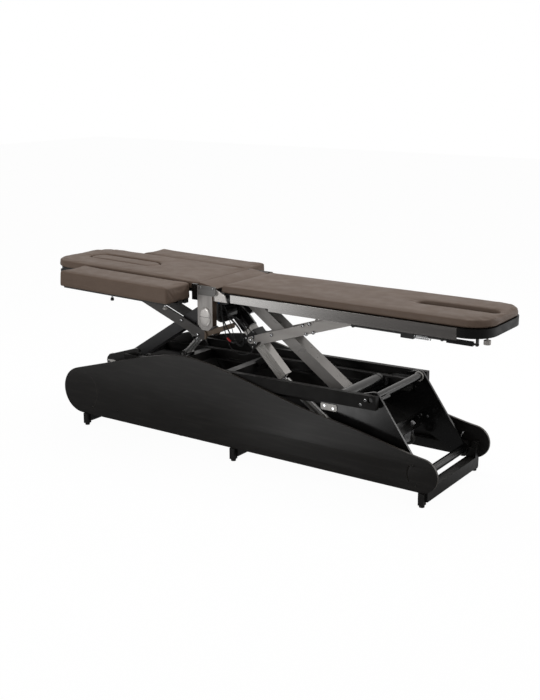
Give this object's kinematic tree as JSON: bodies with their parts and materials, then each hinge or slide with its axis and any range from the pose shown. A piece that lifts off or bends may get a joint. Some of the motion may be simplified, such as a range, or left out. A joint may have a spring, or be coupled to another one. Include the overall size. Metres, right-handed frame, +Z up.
{
  "type": "traction table",
  "caption": "Height-adjustable traction and treatment table with a tilting head section, a tilting, sliding foot section and drop arm pads on a crossed-leg lift.",
  "frame": {"origin": "on the floor under the middle of the table top", "axes": "+X along the table towards the foot end, +Y to the far side of the picture, +Z up"},
  "size_m": [2.0995, 0.696, 0.725],
  "materials": {
    "vinyl": "taupe upholstery vinyl, fine grain",
    "satin_black": "satin",
    "black_steel": "satin powder coat",
    "gloss_black_steel": "gloss",
    "dark_grey_paint": "satin",
    "pale_grey_paint": "gloss",
    "white_paint": "satin",
    "silver_aluminium": "anodised",
    "brushed_plate": "brushed",
    "label_metal": "satin",
    "bright_chrome": "polished",
    "knob_metal": "satin",
    "zinc": "zinc plated",
    "grey_rubber": "matte",
    "slide_plastic": "matte",
    "black_plastic": "matte",
    "gloss_black_plastic": "gloss"
  },
  "bodies": {
    "base": {"side_cover_near": "satin_black", "side_cover_far": "satin_black", "base_frame": "black_steel", "control_box": "black_plastic"},
    "foot_rocker_group": {"foot_rocker": "gloss_black_steel", "anchor_plate_near": "white_paint", "anchor_plate_far": "white_paint"},
    "castor_near": {"castor_fork_near": "zinc"},
    "castor_far": {"castor_fork_far": "zinc"},
    "wheel_near": {"castor_wheel_near": "grey_rubber"},
    "wheel_far": {"castor_wheel_far": "grey_rubber"},
    "head_rocker_group": {"head_rocker": "black_steel"},
    "lift_frame": {"frame_bar_near": "black_steel", "frame_bar_far": "black_steel", "slide_frame": "black_steel"},
    "head_leg_group": {"head_leg": "dark_grey_paint"},
    "foot_leg_group": {"foot_leg": "pale_grey_paint", "foot_leg_tube": "gloss_black_steel"},
    "slide_shoes": {"slide_shoe_near": "slide_plastic", "slide_shoe_far": "slide_plastic"},
    "centre": {"centre_hub": "black_steel", "column_plate_near": "brushed_plate", "column_plate_far": "brushed_plate", "label_plate_near": "label_metal", "label_plate_far": "label_metal", "pivot_cap_near": "silver_aluminium", "pivot_cap_far": "silver_aluminium", "hinge_wedge_near": "silver_aluminium", "hinge_wedge_far": "silver_aluminium", "wiring": "black_plastic"},
    "head_section": {"head_lever": "dark_grey_paint", "head_underframe": "black_steel", "head_pad": "vinyl", "head_end_flap": "vinyl"},
    "insert": {"face_insert": "vinyl"},
    "arm_near": {"arm_pad_near": "vinyl", "arm_tray_near": "black_steel"},
    "arm_far": {"arm_pad_far": "vinyl", "arm_tray_far": "black_steel"},
    "knob_near_1": {"arm_knob_near_1": "knob_metal"},
    "knob_near_2": {"arm_knob_near_2": "knob_metal"},
    "knob_far_1": {"arm_knob_far_1": "knob_metal"},
    "knob_far_2": {"arm_knob_far_2": "knob_metal"},
    "foot_section": {"foot_lever": "silver_aluminium", "foot_underframe": "black_steel"},
    "foot_top": {"foot_pad": "vinyl", "foot_board": "black_plastic", "foot_side_rail_near": "silver_aluminium", "foot_side_rail_far": "silver_aluminium", "release_rod": "black_steel", "lock_spring": "bright_chrome"},
    "handle": {"release_handle": "silver_aluminium"},
    "clamp_knob": {"end_knob": "black_plastic"},
    "tilt_unit": {"foot_unit_motor": "gloss_black_plastic", "foot_unit_profile": "silver_aluminium"},
    "tilt_carriage": {"foot_unit_carriage": "black_steel"},
    "upper_barrel": {"upper_actuator_barrel": "gloss_black_steel"},
    "upper_rod": {"upper_actuator_rod": "bright_chrome"},
    "lower_barrel": {"lower_actuator_barrel": "silver_aluminium"},
    "lower_rod": {"lower_actuator_rod": "bright_chrome"}
  },
  "joints": [
    {"name": "lower_lift", "type": "hinge", "parent": "base", "child": "foot_rocker_group", "pos_m": [0.81106, 0, 0.09198], "axis": [0, 1, 0], "range_deg": [-32.5, 30]},
    {"name": "frame_level", "type": "hinge", "parent": "foot_rocker_group", "child": "lift_frame", "pos_m": [0.61706, 0, 0.36398], "axis": [0, 1, 0], "range_deg": [-30, 32.5]},
    {"name": "head_rocker_turn", "type": "hinge", "parent": "base", "child": "head_rocker_group", "pos_m": [-0.28577, 0, 0.07245], "axis": [0, 1, 0], "range_deg": [-32.5, 30]},
    {"name": "castor_near_swivel", "type": "hinge", "parent": "foot_rocker_group", "child": "castor_near", "pos_m": [0.63806, -0.085, 0.19198], "axis": [0.5446, 0, 0.8387], "continuous": true},
    {"name": "castor_far_swivel", "type": "hinge", "parent": "foot_rocker_group", "child": "castor_far", "pos_m": [0.63806, 0.085, 0.19198], "axis": [0.5446, 0, 0.8387], "continuous": true},
    {"name": "castor_near_roll", "type": "hinge", "parent": "castor_near", "child": "wheel_near", "pos_m": [0.62769, -0.085, 0.13194], "axis": [0, 1, 0], "continuous": true},
    {"name": "castor_far_roll", "type": "hinge", "parent": "castor_far", "child": "wheel_far", "pos_m": [0.62769, 0.085, 0.13194], "axis": [0, 1, 0], "continuous": true},
    {"name": "upper_lift", "type": "hinge", "parent": "lift_frame", "child": "head_leg_group", "pos_m": [-0.69, 0, 0.305], "axis": [0, -1, 0], "range_deg": [-5, 13]},
    {"name": "centre_level", "type": "hinge", "parent": "head_leg_group", "child": "centre", "pos_m": [-0.1263, 0, 0.67009], "axis": [0, -1, 0], "range_deg": [-13, 5]},
    {"name": "foot_leg_turn", "type": "hinge", "parent": "centre", "child": "foot_leg_group", "pos_m": [-0.1263, 0, 0.67009], "axis": [0, -1, 0], "range_deg": [-13, 5]},
    {"name": "shoe_level", "type": "hinge", "parent": "foot_leg_group", "child": "slide_shoes", "pos_m": [0.45003, 0, 0.3253], "axis": [0, -1, 0], "range_deg": [-5, 13]},
    {"name": "head_tilt", "type": "hinge", "parent": "centre", "child": "head_section", "pos_m": [-0.1263, 0, 0.67009], "axis": [0, -1, 0], "range_deg": [-10, 12]},
    {"name": "foot_tilt", "type": "hinge", "parent": "centre", "child": "foot_section", "pos_m": [-0.1263, 0, 0.67009], "axis": [0, 1, 0], "range_deg": [0, 15]},
    {"name": "foot_slide", "type": "slide", "parent": "foot_section", "child": "foot_top", "axis": [1, 0, 0], "range_m": [0, 0.12]},
    {"name": "insert_lift", "type": "slide", "parent": "head_section", "child": "insert", "axis": [0.0166, 0, 0.9999], "range_m": [0, 0.08]},
    {"name": "arm_near_drop", "type": "hinge", "parent": "head_section", "child": "arm_near", "pos_m": [-0.54406, -0.186, 0.63992], "axis": [0.9999, 0, -0.0166], "range_deg": [0, 30]},
    {"name": "arm_far_drop", "type": "hinge", "parent": "head_section", "child": "arm_far", "pos_m": [-0.54406, 0.186, 0.63992], "axis": [-0.9999, 0, 0.0166], "range_deg": [0, 30]},
    {"name": "knob_near_1_turn", "type": "hinge", "parent": "arm_near", "child": "knob_near_1", "pos_m": [-0.26781, -0.324, 0.62234], "axis": [0.0166, 0, 0.9999], "range_deg": [-180, 180]},
    {"name": "knob_near_2_turn", "type": "hinge", "parent": "arm_near", "child": "knob_near_2", "pos_m": [-0.55077, -0.324, 0.62703], "axis": [0.0166, 0, 0.9999], "range_deg": [-180, 180]},
    {"name": "knob_far_1_turn", "type": "hinge", "parent": "arm_far", "child": "knob_far_1", "pos_m": [-0.26781, 0.324, 0.62234], "axis": [0.0166, 0, 0.9999], "range_deg": [-180, 180]},
    {"name": "knob_far_2_turn", "type": "hinge", "parent": "arm_far", "child": "knob_far_2", "pos_m": [-0.55077, 0.324, 0.62703], "axis": [0.0166, 0, 0.9999], "range_deg": [-180, 180]},
    {"name": "release_turn", "type": "hinge", "parent": "foot_top", "child": "handle", "pos_m": [0.935, -0.15, 0.619], "axis": [1, 0, 0], "range_deg": [0, 30]},
    {"name": "end_knob_turn", "type": "hinge", "parent": "foot_top", "child": "clamp_knob", "pos_m": [1.03, -0.134, 0.628], "axis": [0, 0, 1], "range_deg": [-180, 180]},
    {"name": "tilt_unit_swing", "type": "hinge", "parent": "centre", "child": "tilt_unit", "pos_m": [-0.157, 0, 0.577], "axis": [0, 1, 0], "range_deg": [0, 21]},
    {"name": "tilt_carriage_slide", "type": "slide", "parent": "tilt_unit", "child": "tilt_carriage", "axis": [0.7009, 0, -0.7133], "range_m": [-0.022, 0]},
    {"name": "upper_barrel_swing", "type": "hinge", "parent": "lift_frame", "child": "upper_barrel", "pos_m": [-0.42065, 0, 0.3438], "axis": [0, -1, 0], "range_deg": [-12, 30]},
    {"name": "upper_rod_slide", "type": "slide", "parent": "upper_barrel", "child": "upper_rod", "axis": [0.6838, 0, 0.7297], "range_m": [-0.019, 0.048]},
    {"name": "lower_barrel_swing", "type": "hinge", "parent": "base", "child": "lower_barrel", "pos_m": [0.27, 0.08, 0.12], "axis": [0, 1, 0], "range_deg": [-26, 24]},
    {"name": "lower_rod_slide", "type": "slide", "parent": "lower_barrel", "child": "lower_rod", "axis": [-0.8207, 0, 0.5714], "range_m": [-0.06, 0.063]}
  ],
  "couplings": [
    {"joint": "frame_level", "follows": "lower_lift", "ratio": -1},
    {"joint": "head_rocker_turn", "follows": "lower_lift", "ratio": 1},
    {"joint": "lower_barrel_swing", "follows": "lower_lift", "ratio": 0.7831},
    {"joint": "lower_rod_slide", "follows": "lower_lift", "m_per_rad": -0.10838},
    {"joint": "centre_level", "follows": "upper_lift", "ratio": -1},
    {"joint": "foot_leg_turn", "follows": "upper_lift", "ratio": -1},
    {"joint": "shoe_level", "follows": "upper_lift", "ratio": 1},
    {"joint": "upper_barrel_swing", "follows": "upper_lift", "ratio": 2.214},
    {"joint": "upper_rod_slide", "follows": "upper_lift", "m_per_rad": 0.20387},
    {"joint": "tilt_unit_swing", "follows": "foot_tilt", "ratio": 1.371},
    {"joint": "tilt_carriage_slide", "follows": "foot_tilt", "m_per_rad": -0.07998}
  ]
}
